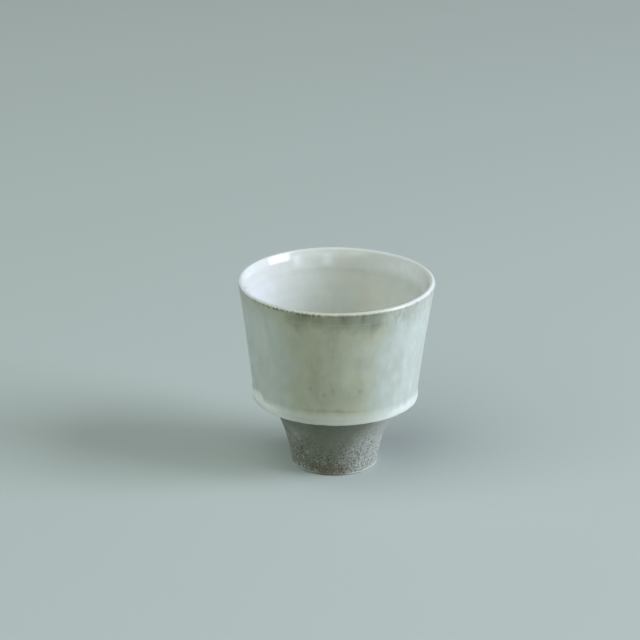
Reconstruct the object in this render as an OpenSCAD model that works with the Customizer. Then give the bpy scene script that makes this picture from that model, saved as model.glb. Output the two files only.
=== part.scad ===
// Tea cup on a turned foot: a thrown stoneware bowl luted onto a hollow thrown foot,
// with one glaze poured inside and another dipped outside.
// Millimetres, +Z up. The origin is the centre of the ring that the cup stands on.

/* [Foot] */
// Height of the foot, from the table to its scored top
foot_h = 26.4; // [20:0.2:34]
// Outside diameter of the foot where it stands
foot_base_d = 35.8; // [30:0.2:42]
// Outside diameter of the foot at its top
foot_top_d = 52.4; // [46:0.2:58]
// Hollow of the foot's side, measured in from a straight cone
foot_waist = 1.4; // [0:0.1:2.4]
// Thickness of the foot's clay
foot_wall = 4.6; // [3:0.1:6]
// Sponged bevel along both edges that the foot stands on
foot_bevel = 0.5; // [0.2:0.1:1.4]

/* [Bowl] */
// Height of the bowl, from its seat on the foot to the top of the lip
bowl_h = 54; // [40:0.5:66]
// Outside diameter across the lip, over the glaze
lip_d = 82; // [74:0.5:92]
// Outside diameter of the clay at the bottom of the wall
wall_base_d = 68.8; // [64:0.2:74]
// Outward curl of the wall at the lip
lip_curl = 0.6; // [0:0.1:1.5]
// Thickness of the clay at the lip
lip_t = 1.4; // [1:0.1:3]
// Thickness of the clay at the bottom of the wall
wall_t = 3.4; // [2:0.1:5]
// Thickness of the clay under the edge of the inside floor
floor_t = 5.6; // [4:0.1:8]
// Depth of the shallow dish in the inside floor
floor_dish = 0.8; // [0:0.1:2]
// Height of the rounded corner between the inside floor and the wall
corner_h = 10; // [4:0.5:16]
// Width of that corner across the inside floor
corner_w = 10; // [4:0.5:16]

/* [Ridge] */
// Diameter of the clay across the ridge round the hip
ridge_d = 68.2; // [66:0.2:74]
// Height of the ridge's widest line above the seat
ridge_rise = 3.5; // [2.8:0.1:6]
// Height of the cove between the ridge and the wall
cove_h = 5.6; // [3:0.1:8]
// Radius of the roll that turns under the ridge
roll_r = 1.4; // [0.8:0.1:2.4]

/* [Joint] */
// Thickness of the slip between the two scored faces
slip_t = 0.5; // [0.2:0.1:1]
// Number of rings scored in each face
score_count = 4; // [2:1:6]
// Depth of each scored ring
score_depth = 0.4; // [0.1:0.1:0.8]
// Reach of the slip's fillet outside the joint
slip_fillet = 1; // [0.4:0.1:2]
// Reach of the soft coil pressed into the corner inside the joint
coil_reach = 3; // [1.5:0.1:5]

/* [Glaze] */
// Thickness of the glaze inside and over the lip
liner_t = 0.45; // [0.2:0.05:0.8]
// Drop of the inside glaze down the outside of the lip
liner_drop = 4; // [1:0.1:8]
// Thickness of the glaze on the outside wall
coat_t = 0.5; // [0.2:0.05:0.8]
// Thickness of the glaze where it gathers round the ridge
gather_t = 0.85; // [0.4:0.05:1.2]
// Thickness of the roll that the outside glaze ends in, below the ridge
edge_t = 0.95; // [0.2:0.05:1.2]
// Share of the way round the roll, down from the ridge, at which the glaze stops
glaze_stop_share = 0.42; // [0.3:0.02:0.8]

/* [Hidden] */
$fn = 128;

// Points along each stretch of the profiles
floor_steps = 8;
corner_steps = 12;
wall_steps = 24;
lip_steps = 12;
drop_steps = 3;
cove_steps = 10;
roll_steps = 10;
turn_steps = 4;
foot_steps = 20;
fillet_steps = 6;

// The wall's curl is kept near the lip by a high power of the height
curl_power = 4;
// The glaze keeps its thickness round the ridge and changes late towards its lower edge
edge_power = 3;
// Share of the ring pitch that a scored ring takes up
score_share = 0.5;

// Heights, from the table up
seat_z = foot_h + slip_t;
cup_h = seat_z + bowl_h;
floor_z = seat_z + floor_t;
ridge_z = seat_z + ridge_rise;
wall_z = ridge_z + cove_h;
lip_z = cup_h - liner_t - lip_t / 2;

// Radii
seat_out_r = foot_top_d / 2;
seat_in_r = seat_out_r - foot_wall;
lip_out_r = lip_d / 2 - liner_t;
lip_in_r = lip_out_r - lip_t;
ridge_r = ridge_d / 2;
wall_base_r = wall_base_d / 2;

// Rings scored into the two faces of the joint
score_pitch = (seat_out_r - seat_in_r) / score_count;
score_w = score_pitch * score_share;

// The roll ends where the flat cone up from the seat's edge touches it
roll_mid = [ridge_r - roll_r, ridge_z];
seat_edge = [seat_out_r, seat_z];
seat_to_roll = roll_mid - seat_edge;
under_slope = atan2(seat_to_roll[1], seat_to_roll[0]) - asin(roll_r / norm(seat_to_roll));
roll_turn = 90 - under_slope;
glaze_stop = roll_turn * glaze_stop_share;
glaze_stop_z = ridge_z - roll_r * sin(glaze_stop);

function mix(a, b, t) = a + (b - a) * t;
function bend(a, knee, b, t) = mix(mix(a, knee, t), mix(knee, b, t), t);
function ease(t) = t * t * (3 - 2 * t);
function reverse(list) = [for (i = [len(list) - 1 : -1 : 0]) list[i]];
function slice(list, first, last) = [for (i = [first : last]) list[i]];

// Foot: a cone whose side is drawn in along a parabola
function foot_r(z) =
    let (rise = z / foot_h)
    mix(foot_base_d, foot_top_d, rise) / 2 - 4 * foot_waist * rise * (1 - rise);

function foot_side(inset, top) = [
    for (i = [0 : foot_steps])
        let (z = mix(foot_bevel, top, i / foot_steps))
        [foot_r(z) - inset, z]
];

// Scored rings across a face of the joint, from the inside out
function scores(z, depth) = [
    for (i = [0 : score_count - 1], side = [-1, 0, 1])
        [seat_in_r + score_pitch * (i + 1 / 2) + side * score_w / 2, z + (1 - abs(side)) * depth]
];

// Wall: a straight taper with a curl added towards the lip
function wall_r(z, base_r, lip_r) =
    let (rise = (z - wall_z) / (lip_z - wall_z))
    mix(base_r, lip_r - lip_curl, rise) + lip_curl * pow(rise, curl_power);
function outer_r(z) = wall_r(z, wall_base_r, lip_out_r);
function inner_r(z) = wall_r(z, wall_base_r - wall_t, lip_in_r);

function outer_wall(top, bottom, steps) = [
    for (i = [1 : steps])
        let (z = mix(top, bottom, i / steps))
        [outer_r(z), z]
];

// Cove: leaves the wall along its taper and reaches the ridge upright
wall_taper = (lip_out_r - lip_curl - wall_base_r) / (lip_z - wall_z);
function cove_r(t) =
    mix(wall_base_r, ridge_r, ease(t)) - wall_taper * cove_h * t * (1 - t) * (1 - t);

function roll_arc(start, stop, steps) = [
    for (i = [1 : steps])
        let (angle = mix(start, stop, i / steps))
        roll_mid + roll_r * [cos(angle), -sin(angle)]
];

// Corner between the inside floor and the inside wall
corner_top = [inner_r(floor_z + corner_h), floor_z + corner_h];
corner_knee = [inner_r(floor_z), floor_z];
corner_end = corner_knee - [corner_w, 0];

// Surface of the bowl's clay, from the middle of the inside floor, over the lip, to under the ridge
floor_line = [
    for (i = [0 : floor_steps])
        let (t = i / floor_steps)
        [corner_end[0] * t, floor_z - floor_dish * (1 - t * t)]
];
corner_line = [for (i = [1 : corner_steps]) bend(corner_end, corner_knee, corner_top, i / corner_steps)];
inner_line = [
    for (i = [1 : wall_steps])
        let (z = mix(corner_top[1], lip_z, i / wall_steps))
        [inner_r(z), z]
];
lip_line = [
    for (i = [1 : lip_steps])
        let (angle = 180 * (1 - i / lip_steps))
        [lip_in_r + lip_t / 2, lip_z] + lip_t / 2 * [cos(angle), sin(angle)]
];
drop_line = outer_wall(lip_z, lip_z - liner_drop, drop_steps);
outer_line = outer_wall(lip_z - liner_drop, wall_z, wall_steps);
cove_line = [for (i = [1 : cove_steps]) [cove_r(i / cove_steps), wall_z - cove_h * i / cove_steps]];
roll_line = roll_arc(0, glaze_stop, roll_steps);
turn_line = roll_arc(glaze_stop, roll_turn, turn_steps);

liner_face = concat(floor_line, corner_line, inner_line, lip_line, drop_line);
coat_face = concat(outer_line, cove_line, roll_line);
clay_face = concat(liner_face, coat_face, turn_line);
liner_last = len(liner_face) - 1;
coat_last = len(clay_face) - turn_steps - 1;

// Outward direction at a point of the clay's surface, square to the points beside it
function clay_out(i) =
    let (along = clay_face[i + 1] - clay_face[max(i - 1, 0)])
    i == 0 ? [0, 1] : [-along[1], along[0]] / norm(along);

// Thickness of the outside glaze at a height: it gathers at the ridge and hangs as a roll at its lower edge
function coat_at(z) =
    z > ridge_z
        ? mix(gather_t, coat_t, ease(min((z - ridge_z) / cove_h, 1)))
        : mix(gather_t, edge_t, pow((ridge_z - z) / (ridge_z - glaze_stop_z), edge_power));

liner_top = [for (i = [0 : liner_last]) clay_face[i] + liner_t * clay_out(i)];
coat_top = [for (i = [liner_last : coat_last]) clay_face[i] + coat_at(clay_face[i][1]) * clay_out(i)];

// Fillets that fill the corners of the joint
slip_foot = [foot_r(foot_h - slip_fillet), foot_h - slip_fillet];
slip_under = seat_edge + slip_fillet * [cos(under_slope), sin(under_slope)];
coil_under = [seat_in_r - coil_reach, seat_z];
coil_foot = [foot_r(foot_h - coil_reach) - foot_wall, foot_h - coil_reach];
function fillet(a, corner, b) = [for (i = [0 : fillet_steps]) bend(a, corner, b, i / fillet_steps)];

module thrown_bowl() {
    color("#8d8a7f")
        rotate_extrude()
            polygon(concat(
                clay_face,
                [seat_edge],
                reverse(scores(seat_z, score_depth)),
                [[0, seat_z]]
            ));
}

module pedestal_foot() {
    color("#74776f")
        rotate_extrude()
            polygon(concat(
                [[foot_base_d / 2 - foot_bevel, 0]],
                foot_side(0, foot_h - slip_fillet),
                [[seat_out_r, foot_h]],
                reverse(scores(foot_h, -score_depth)),
                [[seat_in_r, foot_h]],
                reverse(foot_side(foot_wall, foot_h - coil_reach)),
                [[foot_base_d / 2 - foot_wall + foot_bevel, 0]]
            ));
}

module luting_slip() {
    color("#6a6c64")
        rotate_extrude()
            polygon(concat(
                [[seat_in_r, foot_h]],
                scores(foot_h, -score_depth),
                [[seat_out_r, foot_h]],
                fillet(slip_foot, [seat_out_r, foot_h], slip_under),
                [seat_edge],
                reverse(scores(seat_z, score_depth)),
                [[seat_in_r, seat_z]]
            ));
}

module seam_coil() {
    color("#7d7f76")
        rotate_extrude()
            polygon(concat(
                [[seat_in_r, foot_h], [seat_in_r, seat_z]],
                fillet(coil_under, [seat_in_r, foot_h], coil_foot)
            ));
}

module liner_glaze() {
    color("#d3dad5")
        rotate_extrude()
            polygon(concat(liner_face, reverse(liner_top)));
}

module outside_glaze() {
    color("#aebbae")
        rotate_extrude()
            polygon(concat(slice(clay_face, liner_last, coat_last), reverse(coat_top)));
}

thrown_bowl();
pedestal_foot();
luting_slip();
seam_coil();
liner_glaze();
outside_glaze();
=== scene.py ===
from types import SimpleNamespace
import bpy
import numpy as np
from mathutils import Matrix, Vector


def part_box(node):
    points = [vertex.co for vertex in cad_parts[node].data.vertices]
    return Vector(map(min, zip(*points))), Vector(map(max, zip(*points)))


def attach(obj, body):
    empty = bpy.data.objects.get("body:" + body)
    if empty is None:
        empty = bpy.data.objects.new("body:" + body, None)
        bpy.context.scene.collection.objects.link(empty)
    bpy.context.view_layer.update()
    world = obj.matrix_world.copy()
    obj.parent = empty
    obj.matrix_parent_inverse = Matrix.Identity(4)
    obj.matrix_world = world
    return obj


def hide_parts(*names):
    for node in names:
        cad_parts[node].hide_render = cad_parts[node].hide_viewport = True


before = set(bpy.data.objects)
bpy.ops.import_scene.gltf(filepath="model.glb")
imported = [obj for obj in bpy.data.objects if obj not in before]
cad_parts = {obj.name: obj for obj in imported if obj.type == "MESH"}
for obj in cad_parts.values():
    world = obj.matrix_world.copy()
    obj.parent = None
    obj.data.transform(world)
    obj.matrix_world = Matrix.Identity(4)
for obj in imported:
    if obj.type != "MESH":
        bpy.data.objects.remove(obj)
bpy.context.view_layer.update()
print("frame loaded:", ", ".join(sorted(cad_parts)))

mm = 0.001
fullTurn = 2 * np.pi
tiny = 1e-6  # counts as nothing


# sRGB 0-255 to scene linear: the usual two-part curve
def tint(r, g, b):
    c = np.array((r, g, b)) / 255
    linear = np.where(c <= 0.04045, c / 12.92, ((c + 0.055) / 1.055) ** 2.4)
    return (*linear, 1.0)


# smooth step from 0 at low to 1 at high: 3t^2 - 2t^3
def ease(x, low=0.0, high=1.0):
    t = np.clip((x - low) / (high - low), 0, 1)
    return t * t * (3 - 2 * t)


# smooth step from 1 at low to 0 at high: 1 - ease
def fall(x, low, high):
    return 1 - ease(x, low, high)


# 0 up to start, 1 from full to fade, and 0 again from end on: ease times fall
def plateau(x, start, full, fade, end):
    return ease(x, start, full) * fall(x, fade, end)


# bell of height 1 at mid that has fallen to 0.6 one width away: exp(-d^2 / 2w^2)
def bell(x, mid, width):
    return np.exp(-0.5 * ((x - mid) / width) ** 2)


# angle in degrees from the front of the cup, to the right positive, -180 to 180
def degreesFrom(turn, mid=0.0):
    return (np.degrees(turn) - mid + 180) % 360 - 180


# noise on a drum: random values on a lattice that closes round the turn, eased between neighbours
def drumNoise(turn, along, around, every, seed):
    rows = int(np.max(along) / every) + 3
    lattice = np.random.default_rng(seed).uniform(-1, 1, (around, rows))
    a = turn / fullTurn * around % around
    b = along / every
    i = np.floor(a).astype(int)
    j = np.floor(b).astype(int)
    f = ease(a - i)
    g = ease(b - j)
    i = i % around
    near = lattice[i, j] * (1 - f) + lattice[(i + 1) % around, j] * f
    far = lattice[i, j + 1] * (1 - f) + lattice[(i + 1) % around, j + 1] * f
    return near * (1 - g) + far * g


# spots on a drum: one shaken centre in some of the lattice cells, 1 - (distance / own size)^2, not under 0;
# the smallest spots are smallest times the size of the largest
def drumSpots(turn, along, around, every, size, share, seed, smallest=0.45):
    rows = int(np.max(along) / every) + 4
    shakeA, shakeB, own, chance = np.random.default_rng(seed).uniform(0, 1, (4, around, rows))
    a = turn / fullTurn * around % around
    b = along / every + 1
    i = np.floor(a).astype(int)
    j = np.floor(b).astype(int)
    best = np.zeros(np.broadcast_shapes(a.shape, b.shape))
    for di in (-1, 0, 1):
        for dj in (-1, 0, 1):
            m = (i + di) % around
            n = np.clip(j + dj, 0, rows - 1)
            apart = (di + shakeA[m, n] - (a - i)) ** 2 + (dj + shakeB[m, n] - (b - j)) ** 2
            reach = size * (smallest + (1 - smallest) * own[m, n])
            reach = np.where(chance[m, n] < share, reach, tiny)
            best = np.maximum(best, 1 - apart / reach ** 2)
    return best


# number of cells that fit round a drum: its girth / size of a cell
def cellsRound(radius, every):
    return int(round(fullTurn * radius / every))


# half outline of a CAD node: its triangles cut by the half plane at one angle, the cuts joined end to end
def cadOutline(node, cutAngle=0.4):
    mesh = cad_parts[node].data
    mesh.calc_loop_triangles()
    flat = np.zeros(len(mesh.vertices) * 3)
    mesh.vertices.foreach_get("co", flat)
    points = flat.reshape(-1, 3)
    corners = np.zeros(len(mesh.loop_triangles) * 3, int)
    mesh.loop_triangles.foreach_get("vertices", corners)
    a = corners.reshape(-1, 3)
    b = np.roll(a, -1, 1)
    side = points[:, 1] * np.cos(cutAngle) - points[:, 0] * np.sin(cutAngle)
    out = points[:, 0] * np.cos(cutAngle) + points[:, 1] * np.sin(cutAngle)
    flatPoints = np.stack([out, points[:, 2]], 1)
    crossed = (side[a] > 0) != (side[b] > 0)
    share = np.where(crossed, side[a] / np.where(crossed, side[a] - side[b], 1), 0)
    where = flatPoints[a] + (flatPoints[b] - flatPoints[a]) * share[..., None]
    cut = crossed.any(1)
    ends = where[cut][crossed[cut]].reshape(-1, 2, 2)  # a cut triangle has two crossed edges
    ends = ends[ends[:, :, 0].sum(1) > 0]
    return joinEnds(ends)


# loose segments in order: each end is paired with the nearest end of another one, then all are walked;
# the line turns left round its clay, and one that doesn't start on the axis ends where it starts
def joinEnds(segments, samePoint=2e-6):
    ends = segments.reshape(-1, 2)
    ends[:, 0] = np.maximum(ends[:, 0], 0)
    apart = np.linalg.norm(ends[:, None] - ends[None], axis=2)
    rows = np.arange(len(ends))
    apart[rows, rows] = apart[rows, rows ^ 1] = np.inf
    partner = apart.argmin(1)
    at = ends[:, 0].argmin()
    order = []
    for _ in segments:
        order += [at, at ^ 1]
        at = partner[at ^ 1]
    line = ends[order]
    line = line[np.r_[True, np.linalg.norm(np.diff(line, axis=0), axis=1) > samePoint]]
    area = (line[:-1, 0] * line[1:, 1] - line[1:, 0] * line[:-1, 1]).sum()
    return line if area > 0 else line[::-1]


outlines = {name: cadOutline(name) for name in sorted(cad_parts)}
for name, line in outlines.items():
    print("outline of", name, "has", len(line), "points")


# distance from points to a line: each point is dropped square onto every segment, and the nearest kept
def apartFrom(points, line):
    start, along = line[:-1], np.diff(line, axis=0)
    t = ((points[:, None] - start) * along).sum(2) / (along ** 2).sum(1)
    foot = start + np.clip(t, 0, 1)[..., None] * along
    return np.linalg.norm(points[:, None] - foot, axis=2).min(1)


# 0 where a piece touches another and 1 where it is free: distance to the nearest other outline, in skins
def freeFace(node, points, skin=0.25 * mm):
    others = [apartFrom(points, line) for name, line in outlines.items() if name != node]
    return np.clip(np.min(others, 0) / skin, 0, 1)


# points of a line at given lengths along it
def pointsAt(line, length, at):
    return np.stack([np.interp(at, length, line[:, k]) for k in (0, 1)], 1)


gridRules = {
    "steps": 6000,  # places along an outline at which the weight is worked out
    "cornerBend": 35.0,  # degrees that make a corner
    "cornerReach": 0.3 * mm,
    "cornerWeight": 1.5,
    "looseFrom": 0.9,  # free enough to be rubbed round
    "heldBelow": 0.5,  # covered enough to stay sharp
}


# grid of a piece: the node's outline in steps of equal length times weight, closer at its corners, by
# columns round the axis; corners on another piece stay sharp, and free ones are rubbed round
def layOut(node, rows, columns, weightOf):
    p = gridRules
    line = outlines[node]
    closed = line[0, 0] > tiny
    step = np.diff(line, axis=0)
    length = np.r_[0, np.cumsum(np.linalg.norm(step, axis=1))]
    heading = step / np.linalg.norm(step, axis=1)[:, None]
    bends = (heading[1:] * heading[:-1]).sum(1) < np.cos(np.radians(p["cornerBend"]))
    corners = length[1:-1][bends]
    fine = np.linspace(0, length[-1], p["steps"])
    finePoints = pointsAt(line, length, fine)
    weight = weightOf(finePoints, freeFace(node, finePoints))
    weight = weight + p["cornerWeight"] * bell(fine[:, None], corners, p["cornerReach"]).sum(1)
    total = np.r_[0, np.cumsum((weight[1:] + weight[:-1]) / 2)]
    at = np.interp(np.linspace(0, total[-1], rows + closed), total, fine)
    nearest = np.abs(at[:, None] - corners).argmin(0)
    at[nearest] = corners
    line = pointsAt(line, length, at)
    if closed:
        line = line[:-1]
    before, after = np.roll(line, 1, 0), np.roll(line, -1, 0)
    if not closed:
        before[0], after[-1] = line[0], line[-1]
    free = freeFace(node, line)[:, None]
    line = np.where(free > p["looseFrom"], (before + 2 * line + after) / 4, line)
    along = (after - before) / np.linalg.norm(after - before, axis=1)[:, None]
    return SimpleNamespace(
        node=node, closed=closed, line=line,
        r=line[:, :1], z=line[:, 1:], free=free,
        outR=along[:, 1:], outZ=-along[:, :1],  # outward direction of the line
        sharp=nearest[free[nearest % len(line), 0] < p["heldBelow"]],  # rows that stay sharp
        turn=np.arange(columns)[None] / columns * fullTurn,
    )


# weight of a grid's rows: hidden where another piece covers them, and bare more where they are free
def evenGrid(hidden, bare):
    return lambda points, free: hidden + bare * free


# amount times noise over a piece; the noise is written as its amount, the number of its cells round the
# turn, the height of a cell and its seed
def layNoise(lay, noise):
    amount, *cells = noise
    return amount * drumNoise(lay.turn, lay.z, *cells)


# bell round the turn: 1 at an angle in degrees, 0.6 one reach away from it
def facing(lay, angle, reach):
    return bell(degreesFrom(lay.turn, angle), 0, reach)


# sum of amount times zone over the zones that have an amount
def addUp(zones, amounts):
    return sum(amount * zones[name] for name, amount in amounts.items())


# an object in the scene that shows its data
def addObject(name, data):
    added = bpy.data.objects.new(name, data)
    bpy.context.scene.collection.objects.link(added)
    return added


# faces between neighbouring rows and columns; a line that ends on the axis closes in a fan at each end
def ringFaces(rows, columns, closed):
    i, j = np.meshgrid(np.arange(rows if closed else rows - 1), np.arange(columns), indexing="ij")
    k = (i + 1) % rows
    m = (j + 1) % columns
    quads = np.stack([i * columns + j, i * columns + m, k * columns + m, k * columns + j], -1)
    faces = quads.reshape(-1, 4).tolist()
    if not closed:
        j, m = np.arange(columns), (np.arange(columns) + 1) % columns
        last = (rows - 1) * columns
        first, second = np.full(columns, rows * columns), np.full(columns, rows * columns + 1)
        faces += np.stack([first, m, j], 1).tolist()
        faces += np.stack([second, last + j, last + m], 1).tolist()
    return faces


# a spun piece: x = r sin(turn), y = -r cos(turn), where r and z are the outline's, moved out by push
# along its normal and by (slideR, slideZ); the marks become attributes that its material reads
def spinPiece(name, lay, push, marks, material, slideR=0.0, slideZ=0.0):
    shape = (len(lay.line), lay.turn.shape[1])
    r = np.broadcast_to(lay.r + push * lay.outR + slideR, shape)
    z = np.broadcast_to(lay.z + push * lay.outZ + slideZ, shape)
    points = np.stack([r * np.sin(lay.turn), -r * np.cos(lay.turn), z], 2)
    marks = {key: np.broadcast_to(value, shape) for key, value in marks.items()}
    if lay.closed:
        points = points.reshape(-1, 3)
        marks = {key: value.ravel() for key, value in marks.items()}
        faces = ringFaces(*shape, True)
    else:
        tips = [(0, 0, z[0].mean()), (0, 0, z[-1].mean())]
        points = np.vstack([points[1:-1].reshape(-1, 3), tips])
        marks = {key: np.r_[v[1:-1].ravel(), v[0].mean(), v[-1].mean()] for key, v in marks.items()}
        faces = ringFaces(shape[0] - 2, shape[1], False)
    mesh = bpy.data.meshes.new(name)
    mesh.from_pydata(points.tolist(), [], faces)
    mesh.polygons.foreach_set("use_smooth", np.ones(len(faces), bool))
    ends = np.zeros(len(mesh.edges) * 2, int)
    mesh.edges.foreach_get("vertices", ends)
    row = ends.reshape(-1, 2) // shape[1] + (not lay.closed)
    sharp = (row[:, 0] == row[:, 1]) & np.isin(row[:, 0], lay.sharp)
    mesh.attributes.new("sharp_edge", "BOOLEAN", "EDGE").data.foreach_set("value", sharp)
    for key, value in marks.items():
        mesh.attributes.new(key, "FLOAT", "POINT").data.foreach_set("value", value.astype(np.float32))
    mesh.materials.append(material)
    piece = addObject(name, mesh)
    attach(piece, "root")
    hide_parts(lay.node)
    print("piece", name, "stands for", lay.node, "with", sum(len(f) - 2 for f in faces), "triangles")
    return piece


# a material's empty tree with its shader; the shader's fixed values are set on its own sockets
def startMaterial(name, **values):
    material = bpy.data.materials.new(name)
    material.use_nodes = True
    tree = material.node_tree
    shader = tree.nodes["Principled BSDF"]
    for key, value in values.items():
        shader.inputs[key].default_value = value
    return material, tree, shader


# a node with its inputs: a socket is linked, anything else is set as the input's value
def addNode(tree, kind, inputs, **settings):
    node = tree.nodes.new(kind)
    for key, value in settings.items():
        setattr(node, key, value)
    for key, value in inputs.items():
        if isinstance(value, bpy.types.NodeSocket):
            tree.links.new(value, node.inputs[key])
        else:
            node.inputs[key].default_value = value
    return node


# arithmetic on two numbers or sockets
def calc(tree, operation, a, b, clamp=False):
    return addNode(tree, "ShaderNodeMath", {0: a, 1: b}, operation=operation, use_clamp=clamp).outputs[0]


# sum of (socket - 0.5) * amount over a start value
def stir(tree, start, *layers):
    for socket, amount in layers:
        part = calc(tree, "MULTIPLY", calc(tree, "SUBTRACT", socket, 0.5), amount)
        start = calc(tree, "ADD", start, part)
    return start


# colour a goes over into colour b as the factor rises
def blendColour(tree, factor, a, b):
    mix = addNode(tree, "ShaderNodeMix", {0: factor, 6: a, 7: b}, data_type="RGBA")
    return mix.outputs[2]


# noise on object coordinates with features of about size metres, drawn out along z by stretch
def grain(tree, size, stretch, detail, rough):
    place = addNode(tree, "ShaderNodeTexCoord", {}).outputs["Object"]
    scaled = addNode(tree, "ShaderNodeMapping", {"Vector": place, "Scale": (1, 1, 1 / stretch)}).outputs[0]
    noise = addNode(tree, "ShaderNodeTexNoise",
                    {"Vector": scaled, "Scale": 1 / size, "Detail": detail, "Roughness": rough})
    return noise.outputs[0]


# value mapped from the range low..high to 0..1, smoothly
def between(tree, value, low, high):
    return addNode(tree, "ShaderNodeMapRange", {"Value": value, "From Min": low, "From Max": high},
                   interpolation_type="SMOOTHSTEP").outputs[0]


# colours laid along a number, from (place, colour) stops
def ramp(tree, value, stops):
    node = addNode(tree, "ShaderNodeValToRGB", {0: value})
    elements = node.color_ramp.elements
    while len(elements) < len(stops):
        elements.new(1.0)
    for element, (place, colour) in zip(elements, stops):
        element.position = place
        element.color = colour
    return node.outputs[0]


# a piece's own mark
def mark(tree, name):
    return addNode(tree, "ShaderNodeAttribute", {}, attribute_name=name).outputs["Fac"]


# bump from a height of 0..1 that stands for depth metres, over an earlier normal
def bump(tree, height, depth, normal=None):
    inputs = {"Height": height, "Distance": depth, "Strength": 1.0}
    if normal is not None:
        inputs["Normal"] = normal
    return addNode(tree, "ShaderNodeBump", inputs).outputs[0]


glazeLook = {
    # colour over the depth of the glaze: where it is thin, and where it is thick outside and inside
    "thinStops": ((0.00, tint(84, 82, 60)), (0.16, tint(128, 131, 107)), (0.38, tint(187, 191, 166))),
    "outsideStops": ((0.60, tint(192, 202, 189)), (0.82, tint(208, 218, 212)), (1.00, tint(229, 237, 231))),
    "linerStops": ((0.60, tint(195, 202, 189)), (0.82, tint(221, 226, 222)), (1.00, tint(241, 245, 251))),
    "ironColour": tint(74, 72, 52),
    "smearColour": tint(166, 177, 171),
    "warmColour": tint(210, 203, 178),  # beige cast
    # noises: size across, how far it is drawn out upright, octaves, roughness
    "run": (2.6 * mm, 12, 3, 0.5),  # runs down the wall
    "thread": (0.8 * mm, 16, 2, 0.5),  # fine threads between them
    "cloud": (12 * mm, 1.6, 3, 0.5),
    "blotch": (4.2 * mm, 1.4, 3, 0.5),  # lighter and darker blotches between the clouds
    "crystal": (0.45 * mm, 1.5, 2, 0.5),
    "smear": (1.5 * mm, 2.2, 3, 0.5),  # grey smears under the lip
    "dash": (1.05 * mm, 2, 3, 0.6),  # dashes where the lip is worn
    # how far the noises stir the depth of the glaze
    "runDepth": 0.28,
    "threadDepth": 0.14,
    "cloudDepth": 0.90,
    "blotchDepth": 0.45,
    "crystalDepth": 0.05,
    "blotchTone": 0.9,  # how far the blotches lighten and darken it
    "cloudWarmth": 3.6,  # how far the clouds break up the beige cast
    "smearFrom": (0.30, 0.72),  # where a smear starts in its noise, and where it is full
    "dashFrom": (0.38, 0.64),
    "glossRough": 0.05,
    "satinRough": 0.37,
    "cloudRough": 0.08,  # unevenness of the gloss
    "crystalRough": 0.05,
    "crystalBump": 0.018 * mm,
    "threadBump": 0.03 * mm,
    "refraction": 1.5,
}


# glaze: colour from its depth, which is the piece's mark stirred by runs, threads, clouds, blotches and
# crystals; the tone mark and the blotches lighten and darken it, the warm mark tints it, the mottle mark
# smears it grey, the worn mark breaks it up in dashes, the iron mark stains it, and the satin mark dulls it
def makeGlaze(name, stops):
    look = glazeLook
    material, tree, shader = startMaterial(name, IOR=look["refraction"])
    noises = ("run", "thread", "cloud", "blotch", "crystal", "smear", "dash")
    run, thread, cloud, blotch, crystal, smear, dash = (grain(tree, *look[noise]) for noise in noises)
    streak = mark(tree, "streak")
    drawn = stir(tree, 0.0, (run, look["runDepth"]), (thread, look["threadDepth"]),
                 (cloud, look["cloudDepth"]), (blotch, look["blotchDepth"]))
    depth = calc(tree, "ADD", mark(tree, "depth"), calc(tree, "MULTIPLY", drawn, streak))
    depth = stir(tree, depth, (crystal, look["crystalDepth"]))
    colour = ramp(tree, depth, look["thinStops"] + look[stops])
    blotched = calc(tree, "MULTIPLY", stir(tree, 0.0, (blotch, look["blotchTone"])), streak)
    tone = calc(tree, "ADD", calc(tree, "ADD", mark(tree, "tone"), blotched), 1.0)
    colour = addNode(tree, "ShaderNodeHueSaturation", {"Value": tone, "Color": colour}).outputs[0]

    clouded = stir(tree, 1.0, (cloud, look["cloudWarmth"]))
    warm = calc(tree, "MULTIPLY", mark(tree, "warm"), clouded, True)
    colour = blendColour(tree, warm, colour, look["warmColour"])
    smeared = calc(tree, "MULTIPLY", mark(tree, "mottle"), between(tree, smear, *look["smearFrom"]))
    colour = blendColour(tree, smeared, colour, look["smearColour"])
    worn = calc(tree, "MULTIPLY", mark(tree, "worn"), between(tree, dash, *look["dashFrom"]))
    colour = blendColour(tree, worn, colour, look["ironColour"])
    colour = blendColour(tree, mark(tree, "iron"), colour, look["ironColour"])
    tree.links.new(colour, shader.inputs["Base Color"])

    dull = calc(tree, "MULTIPLY", mark(tree, "satin"), look["satinRough"] - look["glossRough"])
    rough = calc(tree, "ADD", dull, look["glossRough"])
    rough = stir(tree, rough, (cloud, look["cloudRough"]), (crystal, look["crystalRough"]))
    tree.links.new(rough, shader.inputs["Roughness"])
    normal = bump(tree, crystal, look["crystalBump"])
    tree.links.new(bump(tree, thread, look["threadBump"], normal), shader.inputs["Normal"])
    return material


# looks of the clays; a noise is written as in the glaze, then how far it goes from deep to pale, and its bump
stonewareLook = {
    "pale": tint(188, 195, 189),
    "deep": tint(157, 161, 152),
    "clouds": ((6 * mm, 1, 3, 0.5), 0.7, 0),
    "sand": ((0.35 * mm, 1, 3, 0.6), 0.9, 0.09 * mm),
    "layers": {  # colours that the marks bring in, one over the other
        # toasted clay, also used as painted shade
        "toastAndShade": tint(125, 129, 113),
        "flash": tint(115, 103, 77),
        "sponged": tint(230, 233, 225),
        "grains": tint(220, 224, 216),
        "pits": tint(46, 47, 43),
    },
    "rough": 0.9,
    "refraction": 1.45,
}

slipLook = {
    "pale": tint(146, 150, 144),
    "deep": tint(112, 116, 110),
    "clouds": ((1.2 * mm, 0.3, 3, 0.5), 1.0, 0.06 * mm),  # flat, as drag lines round the joint
    "sand": ((0.3 * mm, 1, 2, 0.5), 0.5, 0.05 * mm),
    "layers": {},
    "rough": 0.85,
    "refraction": 1.45,
}


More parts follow.
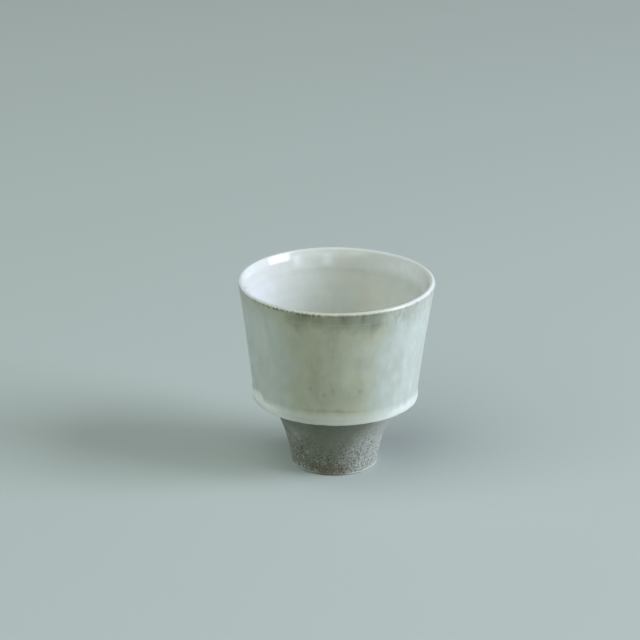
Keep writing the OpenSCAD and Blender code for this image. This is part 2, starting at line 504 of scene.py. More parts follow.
# clay: clouds and sand stir it between deep and pale and make it bumpy, then each layer goes over it as its
# mark says
def makeClay(name, look):
    material, tree, shader = startMaterial(name, Roughness=look["rough"], IOR=look["refraction"])
    shade = 0.5
    normal = None
    for noise, amount, depth in (look["clouds"], look["sand"]):
        texture = grain(tree, *noise)
        shade = stir(tree, shade, (texture, amount))
        if depth:
            normal = bump(tree, texture, depth, normal)
    colour = blendColour(tree, shade, look["deep"], look["pale"])
    for layer, layerColour in look["layers"].items():
        colour = blendColour(tree, mark(tree, layer), colour, layerColour)
    tree.links.new(colour, shader.inputs["Base Color"])
    tree.links.new(normal, shader.inputs["Normal"])
    return material


outsideGlaze = makeGlaze("outsideGlaze", "outsideStops")
linerGlaze = makeGlaze("linerGlaze", "linerStops")
stoneware = makeClay("stoneware", stonewareLook)
slipClay = makeClay("slipClay", slipLook)
print("materials made:", ", ".join(m.name for m in (outsideGlaze, linerGlaze, stoneware, slipClay)))

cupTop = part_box("liner_glaze")[1].z
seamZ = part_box("outside_glaze")[1].z  # where the two glazes meet under the lip
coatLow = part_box("outside_glaze")[0].z
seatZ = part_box("thrown_bowl")[0].z
hipReach = 2.5 * mm  # the hip lies within this height of the glaze's lower edge
coatLine = outlines["outside_glaze"]
hip = coatLine[coatLine[:, 1] < coatLow + hipReach]
ridgeZ = hip[hip[:, 0].argmax(), 1]  # height of the widest line round the hip
middle = 4 * mm  # a piece is smooth near the axis, up to this radius
outwards = 0.5  # a face that looks further out than this is on the outside

bowlClay = {
    "rowsColumns": (230, 300),
    "grid": (0.3, 1.5),
    "groovePitch": 1.1 * mm,  # trimming grooves under the hip
    "grooveDepth": 0.05 * mm,
    "grooveShake": 0.12 * mm,  # how far they wander
    "rough": 0.8,  # roughness beside the grooves, in their depth
    "shake": (1, 24, 3 * mm, 5),
    # the bare clay under the bowl is darker all over: toasted clay and painted shade
    "toastAndShade": 0.6,
    "flash": 0.35,
    "flashNoise": (1, 9, 30 * mm, 6),
    "flashFrom": (-0.6, 1),
}


# the thrown bowl: its outline with turned grooves, sin(2 pi radius / pitch), where no glaze lies on it
def makeBowl():
    p = bowlClay
    lay = layOut("thrown_bowl", *p["rowsColumns"], evenGrid(*p["grid"]))
    shake = layNoise(lay, p["shake"])
    groove = np.sin(fullTurn * (lay.r + p["grooveShake"] * shake) / p["groovePitch"])
    push = lay.free * ease(lay.r, 0, middle) * p["grooveDepth"] * (groove + p["rough"] * shake)
    marks = {
        "pits": 0.0,
        "grains": 0.0,
        "sponged": 0.0,
        "toastAndShade": p["toastAndShade"],
        "flash": p["flash"] * ease(layNoise(lay, p["flashNoise"]), *p["flashFrom"]),
    }
    return spinPiece("bowlClay", lay, push, marks, stoneware)


makeBowl()

footClay = {
    "rowsColumns": (196, 500),
    "grid": (0.25, 0.2, 1.0),  # weight where it is covered, and more inside and outside
    "sideRadius": 17.3 * mm,  # the outside is further out than this
    "middleRadius": 20 * mm,  # radius at which the spots are round
    "edgeTop": (0.5 * mm, 1.3 * mm),  # the edge it stands on is smooth below this
    "smoothing": (9 * mm, 22.5 * mm),  # heights over which the clay gets smoother
    "smooth": 0.8,  # and by how much
    "patchLeast": 0.35,  # roughness of the smoothest patches
    "patchNoise": (1, 22, 4.5 * mm, 11),
    "patchFrom": (-0.8, 0.5),
    "pull": (0.30 * mm, 200, 0.5 * mm, 9),  # spots and grains are pulled out of round
    "lift": (0.30 * mm, 200, 0.5 * mm, 10),
    # spots: size of a cell, of a spot in it, share of the cells that have one, seed
    "pits": (1.15 * mm, 0.48, 0.7, 12),
    "pins": (0.7 * mm, 0.5, 0.65, 13),  # finer pits between the large ones
    "pitDepth": 0.20 * mm,
    "pinDepth": 0.10 * mm,
    "pitDark": 0.85,
    "pinDark": 0.80,
    "darkFrom": (0.2, 0.9),  # where in a spot the dark starts and is full
    "fineGrain": (0.45 * mm, 14),  # size and seed
    "coarseGrain": (1.08 * mm, 23),
    "coarseShare": 0.7,
    "grainFrom": (0.30, 1.0),
    "grainHeight": 0.06 * mm,
    "grainPale": 0.95,
    "trimPitch": 1.6 * mm,  # turned lines
    "trimDepth": 0.025 * mm,
    "trimSway": (2, 5, 8 * mm, 17),  # radians
    "rough": (1, 60, 2 * mm, 16),
    "fineRough": (0.7, 150, 0.8 * mm, 15),
    "toastShadeEnd": -5.0,  # degrees: the toasted and painted-shade side ends here at the table
    "toastShadeLean": 22.0,  # and so much further to the right up the foot
    "toastShadeHeights": (4 * mm, 26 * mm),
    "toastShadeNoise": (10, 14, 6 * mm, 19),  # degrees
    # how far the foot goes to the toasted colour, which is partly painted shade in front and toward the left
    "toastAndShade": 0.85,
    "litRight": (2, 42, 130, 170),  # degrees past that end: the side made paler as painted light rises and falls
    "litLeft": (38, 72, 130, 170),  # the same to the left, where the painted light is weaker
    "leftShare": 0.6,
    "flash": 0.85,  # brown flash low in front
    "flashAt": (-10, 22),
    "flashHeights": (1 * mm, 11 * mm),
    "flashEven": 0.7,  # its even share, and its noise
    "flashNoise": (0.5, 30, 3 * mm, 18),
    "sandyLeast": 0.3,  # share of the grains in front
    "sandyLeft": (15, 45),  # degrees to the left over which they get more
    "sandyPatch": 1.3,  # they are thickest where the patches are smooth
    "sandyLow": 0.22,  # and more low down
    "sandyHeights": (4 * mm, 12 * mm),
    "sponged": (0.6 * mm, 0.40 * mm),  # pale line along the sponged edge: height and width
    "spongedEven": 0.85,
    "spongedNoise": (0.25, 40, 9 * mm, 20),
    "spongedLess": 0.85,  # how much less of it there is in front
    "spongedFront": (-6, 24),
}


# the thrown foot: its outline with spots for pits, noise for sand grains, thickest low down, and faint
# turned lines, sin(2 pi height / pitch); toasted and darkened as painted shade on the left and in front,
# paler as painted light on the right
def makeFoot():
    p = footClay
    hidden, inner, outer = p["grid"]
    lay = layOut("pedestal_foot", *p["rowsColumns"],
                 lambda points, free: hidden + free * np.where(points[:, 0] > p["sideRadius"], outer, inner))
    outside = (lay.outR > 0) * lay.free * ease(lay.z, *p["edgeTop"])
    low = 1 - p["smooth"] * ease(lay.z, *p["smoothing"])
    patch = p["patchLeast"] + (1 - p["patchLeast"]) * ease(layNoise(lay, p["patchNoise"]), *p["patchFrom"])
    radius = p["middleRadius"]
    pulled = lay.turn + layNoise(lay, p["pull"]) / radius
    lifted = np.maximum(lay.z + layNoise(lay, p["lift"]), 0)
    spots = (p["pits"], p["pins"])
    pits, pins = (drumSpots(pulled, lifted, cellsRound(radius, spot[0]), *spot) for spot in spots)
    sands = (p["fineGrain"], p["coarseGrain"])
    fine, coarse = (drumNoise(pulled, lifted, cellsRound(radius, sand[0]), *sand) for sand in sands)
    grains = ease(fine + p["coarseShare"] * coarse, *p["grainFrom"])
    rough = layNoise(lay, p["fineRough"]) + layNoise(lay, p["rough"])
    trim = np.sin(fullTurn * lay.z / p["trimPitch"] + layNoise(lay, p["trimSway"]))
    push = (p["grainHeight"] * grains - p["pitDepth"] * pits - p["pinDepth"] * pins) * low * patch
    push = outside * (push + p["trimDepth"] * (trim + rough))

    front = degreesFrom(lay.turn)
    # toasted clay and painted shade in front, reaching further right up the foot; the lit sides are painted
    # light
    past = front + layNoise(lay, p["toastShadeNoise"])
    past = past - p["toastShadeEnd"] - p["toastShadeLean"] * ease(lay.z, *p["toastShadeHeights"])
    litRight = plateau(past, *p["litRight"])
    litLeft = p["leftShare"] * plateau(-past, *p["litLeft"])
    flash = p["flash"] * bell(front, *p["flashAt"]) * fall(lay.z, *p["flashHeights"])
    sides = np.maximum(litRight, ease(-front, *p["sandyLeft"]))
    sandy = (p["sandyLeast"] + (1 - p["sandyLeast"]) * sides) * (p["sandyPatch"] - patch)
    sandy = sandy + p["sandyLow"] * fall(lay.z, *p["sandyHeights"])
    dark = np.maximum(p["pitDark"] * ease(pits, *p["darkFrom"]), p["pinDark"] * ease(pins, *p["darkFrom"]))
    sponged = bell(lay.z, *p["sponged"]) * (lay.outR > 0)
    sponged = sponged * (1 - p["spongedLess"] * bell(front, *p["spongedFront"]))
    marks = {
        "pits": outside * low * patch * dark,
        "grains": p["grainPale"] * outside * low * sandy * grains,
        "toastAndShade": p["toastAndShade"] * (1 - litRight) * (1 - litLeft),
        "flash": flash * (p["flashEven"] + layNoise(lay, p["flashNoise"])),
        "sponged": sponged * (p["spongedEven"] + layNoise(lay, p["spongedNoise"])),
    }
    return spinPiece("footClay", lay, push, marks, stoneware)


makeFoot()

jointSlip = {
    "rowsColumns": (90, 320),
    "grid": (0.4, 2),
    "waver": (0.10 * mm, 40, 10 * mm, 21),
    "fineWaver": (0.06 * mm, 120, 0.8 * mm, 22),
}

jointCoil = {
    "rowsColumns": (60, 320),
    "grid": (0.3, 2),
    "dent": 0.35 * mm,
    "dents": 17,
    "beatShake": (0.35, 12, 30 * mm, 25),  # unevenness of the pushes, radians
    "rough": (0.15, 90, 0.9 * mm, 26),  # roughness, in dents
}


# slip squeezed out of the joint: its fillet wavers a little round the foot
def makeJointSlip():
    p = jointSlip
    lay = layOut("luting_slip", *p["rowsColumns"], evenGrid(*p["grid"]))
    waver = layNoise(lay, p["waver"]) + layNoise(lay, p["fineWaver"])
    return spinPiece("jointSlip", lay, lay.free * waver, {}, slipClay)


# coil pressed in with a fingertip: one dent for each push, 1 - 2 |sin| round the turn
def makeJointCoil():
    p = jointCoil
    lay = layOut("seam_coil", *p["rowsColumns"], evenGrid(*p["grid"]))
    beat = lay.turn * p["dents"] / 2 + layNoise(lay, p["beatShake"])
    dent = 1 - 2 * np.abs(np.sin(beat)) + layNoise(lay, p["rough"])
    return spinPiece("jointCoil", lay, lay.free * p["dent"] * dent / 2, {}, slipClay)


makeJointSlip()
makeJointCoil()

skin = {
    # zones of the wall in degrees, each rising over the first two and falling over the last two
    # right and left: paler sides, partly deeper glaze and partly painted light where the lamps fall
    "right": (15, 60, 140, 175),
    "left": (28, 60, 120, 165),  # counted to the left
    "frontal": (-75, -30, 15, 50),
    "thinLeft": (-38, -21),  # the thin, olive face of the cup starts over these degrees
    # and ends here: share of the wall's height, degrees
    "thinRight": ((0, 16), (0.2, 19), (0.37, 14), (0.53, 16), (0.68, 20), (0.85, 24), (1, 27)),
    "thinFade": (-5, 14),  # degrees before and after that over which it ends
    "thinShake": (4, 3),  # how far both its edges wander, degrees
    "wander": (1, 16, 9 * mm, 49),  # the wander of edges and patches
    "fineWander": (1, 30, 5 * mm, 46),
    "coveRise": 5.6 * mm,  # foot of the wall above the ridge
    "underLip": (1 * mm, 12 * mm),  # drop from the lip over which it is drawn thin and darkened as painted shade under the lip
    "lipShake": 1.2 * mm,
    "mottleAt": (38, 18),  # grey smears under the lip
    "mottleDrop": (4 * mm, 12 * mm),
    "gatherRise": 3.1 * mm,  # middle of the soft top edge of the thick glaze
    "gatherSoft": 1.8 * mm,  # half the softness of that edge
    "leftCrisp": 0.45,  # how much crisper it is on the left
    "creep": (57, 62, 70, 86),  # it creeps up the wall here, counted to the left
    "creepHeight": 1.9 * mm,
    "edge": (0.5 * mm, 46, 90 * mm, 47),  # how that edge wavers
    "fineEdge": (0.3 * mm, 120, 90 * mm, 48),
    "hang": (0.4 * mm, 2.6 * mm),  # heights above its lower edge over which it hangs thick
    "bandSides": (12, 55),  # degrees from the front over which the band gets thicker
    "bandFront": (-2, 26),  # where the band is warm
    "coveLine": (2.2 * mm, 0.5 * mm),  # dark line over the band, thin glaze and painted shade in the cove: height above its edge, width
    "coveLineLeast": 0.25,
    "coveLineAt": ((8, 16, 0.75), (-41, 4, 0.60)),  # and where it is darker: degrees, width, amount
    # amounts by mark and zone: the depth goes from 0, bare, to 1, thick
    "amounts": {
        "depth": {"all": 0.60, "thin": -0.21, "right": 0.20, "left": 0.20, "band": 0.06, "bandSides": 0.20,
                  "bandCreep": 0.10, "hang": 0.16, "coveLine": -0.08, "underLip": -0.15,
                  "underLipFront": -0.01, "underLipLeft": -0.06, "mottle": -0.045},
        "streak": {"all": 0.22, "right": 0.08, "band": -0.08, "underLip": 0.04, "mottle": 0.045},
        # the band is lighter in tone, most on the left: thick glaze and painted light
        "tone": {"patches": 1.0, "band": 0.03, "bandLeft": 0.07},
        "warm": {"bandFront": 0.34},
        "mottle": {"mottle": 0.75},
    },
    "patchShake": 0.5,
    # paler and darker patches on the wall: degrees, mm up, reach in degrees, tallness in mm, amount
    "patches": (
        (-48, 58, 3.5, 6.0, 0.05), (-55, 52, 3.5, 4.5, -0.05), (-37, 56, 4.0, 3.5, -0.05),
        (-36, 47, 4.0, 2.5, 0.05), (-27, 47, 3.0, 3.0, -0.05), (12, 63, 5.0, 2.2, 0.05),
        (8, 52, 3.5, 3.5, 0.05), (18, 58, 3.5, 2.5, -0.04), (19, 51, 2.8, 4.0, 0.05),
        (27, 63, 5.0, 4.5, 0.04), (44, 53, 11.0, 4.0, -0.04), (18, 73, 6.0, 3.0, -0.06),
        (-5, 44, 12.0, 3.0, -0.03),
    ),
}


# marks of the glaze outside: the sum of amount times zone, for zones over angle and height; thin and olive
# in front, deep on both sides and partly painted light there, drawn thin and darkened as painted shade under
# the lip, gathered round the ridge under a dark line that is partly painted shade, with patches that are
# each a bell over angle and height
def outsideGlazeAt(lay):
    p = skin
    z = lay.z
    front = degreesFrom(lay.turn)
    drop = cupTop - z
    wander = layNoise(lay, p["fineWander"]) + layNoise(lay, p["wander"])
    # the paler sides are partly painted light
    right = plateau(front, *p["right"])
    left = plateau(-front, *p["left"])
    coveZ = ridgeZ + p["coveRise"]
    rise = np.clip((z - coveZ) / (cupTop - coveZ), 0, 1)
    thinRight = np.interp(rise, *np.transpose(p["thinRight"]))
    shakeLeft, shakeRight = p["thinShake"]
    before, after = p["thinFade"]
    thin = ease(front + shakeLeft * wander, *p["thinLeft"])
    thin = thin * fall(front + shakeRight * wander, thinRight + before, thinRight + after)
    # thin glaze and painted shade under the lip
    underLip = fall(drop + p["lipShake"] * wander, *p["underLip"])
    mottle = bell(front, *p["mottleAt"]) * fall(drop, *p["mottleDrop"])

    creep = plateau(-front, *p["creep"])
    edge = ridgeZ + p["gatherRise"] + p["creepHeight"] * creep
    edge = edge + layNoise(lay, p["edge"]) + layNoise(lay, p["fineEdge"])
    soft = p["gatherSoft"] * (1 - p["leftCrisp"] * left)
    wall = ease(z - edge, -soft, soft)
    band = 1 - wall
    darker = sum(amount * bell(front, at, reach) for at, reach, amount in p["coveLineAt"])
    # dark line in the cove: partly thin glaze, partly painted shade
    coveLine = (p["coveLineLeast"] + darker) * bell(z - edge, *p["coveLine"])
    patches = 0
    for angle, up, reach, tall, amount in p["patches"]:
        across = degreesFrom(lay.turn, angle) / reach + p["patchShake"] * wander
        above = (z - up * mm) / (tall * mm) - p["patchShake"] * wander
        patches = patches + amount * bell(across, 0, 1) * bell(above, 0, 1)

    zones = {
        "all": 1,
        "right": right,
        "left": left,
        "thin": thin * wall,
        "underLip": underLip,
        "underLipFront": underLip * plateau(front, *p["frontal"]),
        "underLipLeft": underLip * left,
        "mottle": mottle,
        "band": band,
        "bandLeft": band * left,
        "bandFront": band * bell(front, *p["bandFront"]),
        "bandSides": band * ease(np.abs(front), *p["bandSides"]),
        "bandCreep": band * creep,
        "hang": fall(z - coatLow, *p["hang"]),
        "coveLine": coveLine,
        "patches": patches * wall,
    }
    return {name: addUp(zones, amounts) for name, amounts in p["amounts"].items()}


liner = {
    "rowsColumns": (268, 360),
    # weight of the grid's rows where covered, more where free, and more still near the top, over this height
    "grid": (0.22, 1, 3, 0.9 * mm),
    "insideFrom": (-0.3, 0.4),  # how far inwards the face looks
    "insideHeights": (6 * mm, 14 * mm),  # above the seat
    "outsideFrom": (0.2, 0.8),
    "ringPitch": 5.2 * mm,  # throwing rings up the inside
    "ringHeight": 0.03 * mm,
    "ringEven": 0.7,
    "ringNoise": (0.6, 7, 9 * mm, 31),
    # swell under the lip inside: drops over which it rises and falls
    "rimRing": (0.6 * mm, 3.4 * mm, 7.0 * mm, 10.5 * mm),
    "rimRingHeight": 0.28 * mm,
    "pillows": (0.05 * mm, 12, 8 * mm, 32),
    "runs": (0.03 * mm, 80, 30 * mm, 34),
    "lipWaver": (0.10 * mm, 9, 200 * mm, 33),
    "lipLean": (75.0, 0.22 * mm, -0.12 * mm),  # the lip is thickest at this angle, by this, over this
    "lipAt": (0.6 * mm, 1.2 * mm),  # drop and width of what counts as the lip
    "lipOuter": (0.4, 0.9),  # less of it on the outer face
    "lipOuterLess": 0.8,
    "lipTilt": (140.0, 0.5 * mm),  # the lip is highest at this angle, and by this much
    "tiltDrop": (0.5 * mm, 4.6 * mm),
    "creaseFill": 0.07 * mm,  # softens the line between the lip and the inside
    "creaseAt": (1.4 * mm, 0.6 * mm),  # its drop and width
    "seamLevel": 1.5 * mm,  # height above the seam over which the outside goes level
    "shoulder": (1.15 * mm, 0.46 * mm),  # drop and width of the line where the glaze breaks
    "wornFrom": (-66, -42),  # degrees over which it starts to be worn
    "wornLess": ((-18, -4), (6, 20)),  # and over which each half of the wear goes
    "wornLeast": 0.25,
    "worn": 0.9,
    "bandFrom": (0.2, 0.7),  # what looks outwards, below the lip, is coloured as outside
    "bandDrop": (0.5 * mm, 1.1 * mm),
    "top": 1.2 * mm,  # reach of the lip's top
    "topFront": (0, 30),  # thinner on top in front: degrees and reach
    "creamFront": (-5, 28),  # and creamier
    "nearTop": (4.5 * mm, 10 * mm),  # drop to the end of the zone under the lip
    "whiteAt": (-108, 37),  # the white side, where the lamp lights the inside wall, whiter partly as painted light: degrees and reach
    "whiteLess": 0.25,  # how much less white it is near the top
    "whiteTop": 0.6,  # a place near the top, whiter as painted light
    "whiteTopAt": (126, 28),
    "whiteHeights": (4 * mm, 20 * mm),  # above the seat
    "paintedReflections": ((-153.5, 2.2), (-173.5, 2.4)),  # painted reflections: pale upright strips under the back lip: degrees and reach
    "reflectionDrop": (1 * mm, 3 * mm, 5 * mm, 8 * mm),
    "reflectionAmount": 0.5,
    "warmAt": (165, 16),  # beige patch: degrees and reach
    "warmUp": (62 * mm, 14 * mm),  # its height and tallness
    "warmHeights": (22 * mm, 38 * mm),  # above the seat, over which the inside is less warm
    "whiteCool": 0.9,  # share of the warmth that white takes away
    "shaded": (142, 24),  # darker place: degrees and reach
    "shadedDrop": (7 * mm, 13 * mm),
    "streak": 0.12,
    # amounts by zone
    "depth": {"all": 0.69, "white": 0.27, "lip": 0.27, "lipFront": -0.35},
    # tone: painted light on the white side, painted shade at the shaded place
    "tone": {"paintedLightTone": 0.06, "shaded": -0.02},
    "warm": {"beige": 0.20, "beigeHigh": -0.08, "warmPatch": 0.18, "lipCream": 0.55},
}


# the inside glaze: rings that climb one pitch a turn, a swell under the lip, a lip that wavers and tilts,
# and goes level at the seam; whitest on the left inside, partly as painted light, with painted reflections
# under the back lip, and worn along the shoulder
def makeLiner():
    p = liner
    hidden, bare, fine, reach = p["grid"]
    lay = layOut("liner_glaze", *p["rowsColumns"],
                 lambda points, free: hidden + free * (bare + fine * bell(points[:, 1], cupTop, reach)))
    aboveSeat = lay.z - seatZ
    drop = cupTop - lay.z
    front = degreesFrom(lay.turn)
    inside = ease(-lay.outR, *p["insideFrom"]) * ease(aboveSeat, *p["insideHeights"])
    outside = ease(lay.outR, *p["outsideFrom"]) * lay.free
    climb = lay.z - p["ringPitch"] * lay.turn / fullTurn
    rings = p["ringHeight"] * np.sin(fullTurn * climb / p["ringPitch"])
    rings = rings * (p["ringEven"] + layNoise(lay, p["ringNoise"]))
    rimRing = p["rimRingHeight"] * plateau(drop, *p["rimRing"])
    thickest, lean, usual = p["lipLean"]
    lip = usual + layNoise(lay, p["lipWaver"])
    lip = lip + lean * np.cos(lay.turn - np.radians(thickest))
    lip = lip * bell(drop, *p["lipAt"]) * (1 - p["lipOuterLess"] * ease(lay.outR, *p["lipOuter"]))
    lip = lip + p["creaseFill"] * bell(drop, *p["creaseAt"]) * inside
    soft = layNoise(lay, p["pillows"]) + layNoise(lay, p["runs"]) * outside
    push = lay.free * ease(lay.r, 0, middle) * (inside * (rings + rimRing) + soft + lip)
    push = push * np.where(lay.outR > outwards, ease(lay.z - seamZ, 0, p["seamLevel"]), 1)
    highest, tilt = p["lipTilt"]
    lift = tilt * (1 + np.cos(lay.turn - np.radians(highest))) / 2 * fall(drop, *p["tiltDrop"])

    wear = ease(front, *p["wornFrom"]) * (1 - sum(ease(front, *less) for less in p["wornLess"]) / 2)
    wear = p["wornLeast"] + (1 - p["wornLeast"]) * wear
    top = bell(drop, 0, p["top"]) * (1 - inside)
    nearTop = fall(drop, *p["nearTop"])
    # the white side is partly painted light and the place near the top is painted light; the strips under the
    # back lip are painted reflections
    white = facing(lay, *p["whiteAt"]) * (1 - p["whiteLess"] * nearTop)
    white = white + p["whiteTop"] * nearTop * facing(lay, *p["whiteTopAt"])
    reflected = p["reflectionAmount"] * plateau(drop, *p["reflectionDrop"])
    white = white + reflected * sum(facing(lay, *place) for place in p["paintedReflections"])
    beige = inside * (1 - p["whiteCool"] * white)
    warmPatch = facing(lay, *p["warmAt"]) * bell(lay.z, *p["warmUp"])
    shaded = facing(lay, *p["shaded"]) * ease(drop, *p["shadedDrop"])
    zones = {
        "all": 1,
        "white": white * ease(aboveSeat, *p["whiteHeights"]) * inside,
        "paintedLightTone": white * inside,
        "shaded": shaded * inside,
        "beige": beige,
        "beigeHigh": beige * ease(aboveSeat, *p["warmHeights"]),
        "warmPatch": warmPatch * inside,
        "lip": top,
        "lipFront": top * bell(front, *p["topFront"]),
        "lipCream": top * bell(front, *p["creamFront"]),
    }
    depth = addUp(zones, p["depth"])
    band = ease(lay.outR, *p["bandFrom"]) * ease(drop, *p["bandDrop"])
    under = outsideGlazeAt(lay)
    marks = {
        "depth": depth + (under["depth"] - depth) * band,
        "streak": p["streak"] + (under["streak"] - p["streak"]) * band,
        "satin": band,
        "worn": p["worn"] * bell(drop, *p["shoulder"]) * outside * wear,
        "mottle": under["mottle"] * band,
        "tone": under["tone"] * band + addUp(zones, p["tone"]),
        "warm": addUp(zones, p["warm"]),
        "iron": 0.0,
    }
    return spinPiece("insideGlaze", lay, push, marks, linerGlaze, slideZ=lift)


makeLiner()

coat = {
    "rowsColumns": (246, 400),
    "grid": (0.2, 1),
    "runs": (0.05 * mm, 84, 26 * mm, 41),
    "pillows": (0.07 * mm, 11, 10 * mm, 42),
    "bead": (0.12 * mm, 15, 40 * mm, 43),  # swell of the thick glaze round the ridge
    "beadRise": 1.5 * mm,  # middle of the swell above the ridge
    "beadReach": (1.7 * mm, 1.2 * mm),  # below and above that
    "beadLean": 0.12 * mm,  # how much thicker it is on the left, and thinner right
    "drip": 0.36 * mm,  # a thick drip
    "dripAt": (-92, 18),  # degrees and reach
    "seamLevel": 1.5 * mm,  # depth below the seam over which these start
    "seamStep": 0.055 * mm,  # how far its top is drawn in to the inside glaze
    "seamNoise": (0.011 * mm, 19, 90 * mm, 50),
    "seamReach": 5 * mm,  # depth over which it is drawn in
    "edgeHeights": (0.8 * mm, 3.5 * mm),  # the lower edge is what lies below this
    "edge": (0.20 * mm, 21, 60 * mm, 44),  # up and down wander of the lower edge
    "fineEdge": (0.10 * mm, 55, 60 * mm, 45),
    "edgeSlope": (0.35, 0.9),  # it wanders out and up by these shares
    "edgeTuck": 0.25 * mm,  # how far the lower edge is drawn in and up
    "edgeLifts": ((0.5 * mm, 80, 36), (0.4 * mm, -68, 20)),  # it lies higher by this: height, degrees, reach
    "specks": ((-1.5, 45.3), (-7, 43.2), (-16, 46.0), (16.5, 44.8)),  # iron specks: degrees, mm up
    "speckSize": 0.42 * mm,
    "speckTall": 1.6,  # tallness over width
    "speckDark": 0.26,
    "smudge": (1.1 * mm, 2.2 * mm, 0.06),  # smudge round each of them: reach, tallness, how dark
}


# the outside glaze: runs and pillows down the wall, a bead round the ridge, a wandering lower edge,
# and a few specks of iron, each a bell over angle and height
def makeCoat():
    p = coat
    lay = layOut("outside_glaze", *p["rowsColumns"], evenGrid(*p["grid"]))
    belowSeam = seamZ - lay.z
    swell = layNoise(lay, p["bead"]) - p["beadLean"] * np.sin(lay.turn)
    swell = swell + p["drip"] * facing(lay, *p["dripAt"])
    aboveBead = lay.z - ridgeZ - p["beadRise"]
    reachDown, reachUp = p["beadReach"]
    bead = swell * bell(aboveBead, 0, np.where(aboveBead > 0, reachUp, reachDown))
    relief = layNoise(lay, p["runs"]) + layNoise(lay, p["pillows"]) + bead
    push = lay.free * ease(belowSeam, 0, p["seamLevel"]) * relief
    wander = layNoise(lay, p["edge"]) + layNoise(lay, p["fineEdge"])
    lift = sum(height * facing(lay, *place) for height, *place in p["edgeLifts"])
    low = fall(lay.z - coatLow, *p["edgeHeights"])
    slide = low * (wander + lift)
    slideOut, slideUp = p["edgeSlope"]
    tuck = low * p["edgeTuck"] * lay.free
    drawnIn = p["seamStep"] + layNoise(lay, p["seamNoise"])
    drawnIn = drawnIn * fall(belowSeam, 0, p["seamReach"]) * (lay.outR > outwards)

    marks = outsideGlazeAt(lay)
    iron = 0
    reach, tall, dark = p["smudge"]
    for angle, up in p["specks"]:
        across = lay.r * np.radians(degreesFrom(lay.turn, angle))
        above = lay.z - up * mm
        iron = np.maximum(iron, bell(np.hypot(across, above / p["speckTall"]), 0, p["speckSize"]))
        marks["tone"] = marks["tone"] - dark * bell(across, 0, reach) * bell(above, 0, tall)
    marks.update(satin=1.0, worn=0.0, iron=p["speckDark"] * iron)
    return spinPiece("outsideGlaze", lay, push, marks, outsideGlaze,
                     slideR=slideOut * slide - drawnIn - tuck, slideZ=slideUp * slide + tuck)


makeCoat()

cameraView = {
    "distance": 1.5,  # metres from the middle of the cup
    "elevation": 21.4,  # degrees above the table
    "roll": 0.78,  # degrees
    "lens": 201.0,  # mm
    "sensor": 36.0,  # mm
    "clip": (0.01, 50.0),  # metres
    "aimHeight": 0.040,  # height of the point on the cup's axis that is aimed by
    "aimPixel": (335.3, 371.4),  # where that point stands in the frame
    "framePixels": 640,
}


# camera on a sphere round the aim point, then turned so that the point stands at its pixel
def makeCamera():
    v = cameraView
    tilt, roll = np.radians(v["elevation"]), np.radians(v["roll"])
    look = np.array((0, np.cos(tilt), -np.sin(tilt)))
    level = np.array((1.0, 0, 0))
    rise = np.cross(level, look)
    right = level * np.cos(roll) + rise * np.sin(roll)
    up = rise * np.cos(roll) - level * np.sin(roll)
    pixels = v["lens"] / v["sensor"] * v["framePixels"]  # to a picture plane at distance 1
    dx, dy = (np.array(v["aimPixel"]) - v["framePixels"] / 2) / pixels
    aim = look - right * dx + up * dy
    aim = aim / np.linalg.norm(aim)
    right = np.cross(aim, up)
    right = right / np.linalg.norm(right)
    up = np.cross(right, aim)
    data = bpy.data.cameras.new("camera")
    data.lens = v["lens"]
    data.sensor_width = v["sensor"]
    data.clip_start, data.clip_end = v["clip"]
    cam = addObject("camera", data)
    place = np.array((0, 0, v["aimHeight"])) - look * v["distance"]
    matrix = np.eye(4)
    matrix[:3] = np.stack([right, up, -aim, place], 1)
    cam.matrix_world = Matrix(matrix)
    bpy.context.scene.camera = cam


makeCamera()
print("camera placed")

room = {
    "floorColour": tint(189, 200, 195),
    "floorGlow": tint(158, 166, 158),  # what the floor throws back onto the cup
    "floorRough": 0.85,
    "floorHalf": 4.0,
    "skyLight": (0.116, 0.122, 0.116, 1),  # light from all round
    "skySeen": tint(186, 195, 190),  # what the camera and the gloss see past the floor
    "litHeight": 0.045,  # height on the axis at which the lamps' levels hold
    # degrees to the right of the front, distance, height, height aimed at, width, tallness, level, colour
    "key": (78, 1.70, 0.94, 0.60, 1.00, 1.80, 1.06, (0.95, 0.99, 1.12)),
    "fill": (-50, 1.50, 1.90, 0.05, 3.20, 3.00, 0.71, (0.95, 1.02, 1.01)),
}


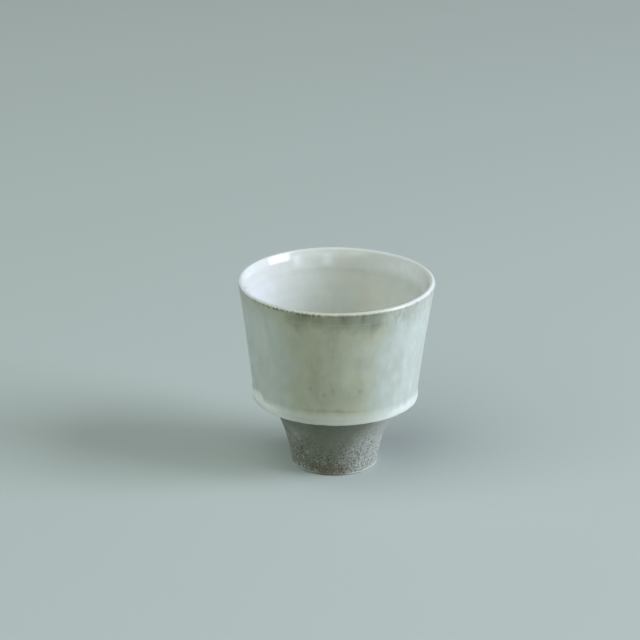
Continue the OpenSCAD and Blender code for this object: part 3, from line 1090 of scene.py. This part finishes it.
# soft lamp turned to the cup's axis: power pi^2 distance^2 renders a colour that faces it as it is written
def addLamp(name, bearing, distance, height, aimHeight, width, tallness, level, colour):
    lamp = bpy.data.lights.new(name, "AREA")
    lamp.shape = "RECTANGLE"
    lamp.size = width
    lamp.size_y = tallness
    turn = np.radians(bearing)
    place = Vector((np.sin(turn) * distance, -np.cos(turn) * distance, height))
    away = place - Vector((0, 0, aimHeight))
    lamp.energy = level * np.pi ** 2 * (place - Vector((0, 0, room["litHeight"]))).length_squared
    lamp.color = colour
    stand = addObject(name, lamp)
    stand.location = place
    stand.rotation_euler = away.to_track_quat("Z", "Y").to_euler()


# 1 for what the camera, gloss or glass looks at, 0 for light on its way
def seenRay(tree):
    rays = addNode(tree, "ShaderNodeLightPath", {}).outputs
    seen = calc(tree, "ADD", rays["Is Camera Ray"], rays["Is Glossy Ray"], True)
    return calc(tree, "ADD", seen, rays["Is Transmission Ray"], True)


# floor that the camera, gloss and glass see as pale, clear from below so that the foot can be looked at;
# a dim even sky, seen as pale in the same way
def makeRoom():
    half = room["floorHalf"]
    corners = [(-half, -half, 0), (half, -half, 0), (half, half, 0), (-half, half, 0)]
    mesh = bpy.data.meshes.new("floor")
    mesh.from_pydata(corners, [], [(0, 1, 2, 3)])
    floor = addObject("floor", mesh)
    material, tree, shader = startMaterial("floor", Roughness=room["floorRough"])
    shade = blendColour(tree, seenRay(tree), room["floorGlow"], room["floorColour"])
    tree.links.new(shade, shader.inputs["Base Color"])
    below = addNode(tree, "ShaderNodeNewGeometry", {}).outputs["Backfacing"]
    clear = addNode(tree, "ShaderNodeBsdfTransparent", {}).outputs[0]
    mix = addNode(tree, "ShaderNodeMixShader", {0: below, 1: shader.outputs[0], 2: clear})
    tree.links.new(mix.outputs[0], tree.nodes["Material Output"].inputs["Surface"])
    mesh.materials.append(material)

    world = bpy.data.worlds.new("room")
    bpy.context.scene.world = world
    world.use_nodes = True
    tree = world.node_tree
    sky = blendColour(tree, seenRay(tree), room["skyLight"], room["skySeen"])
    tree.links.new(sky, tree.nodes["Background"].inputs["Color"])
    addLamp("key", *room["key"])
    addLamp("fill", *room["fill"])


makeRoom()
bpy.context.scene.view_settings.view_transform = "Standard"
print("floor, sky and lamps placed")
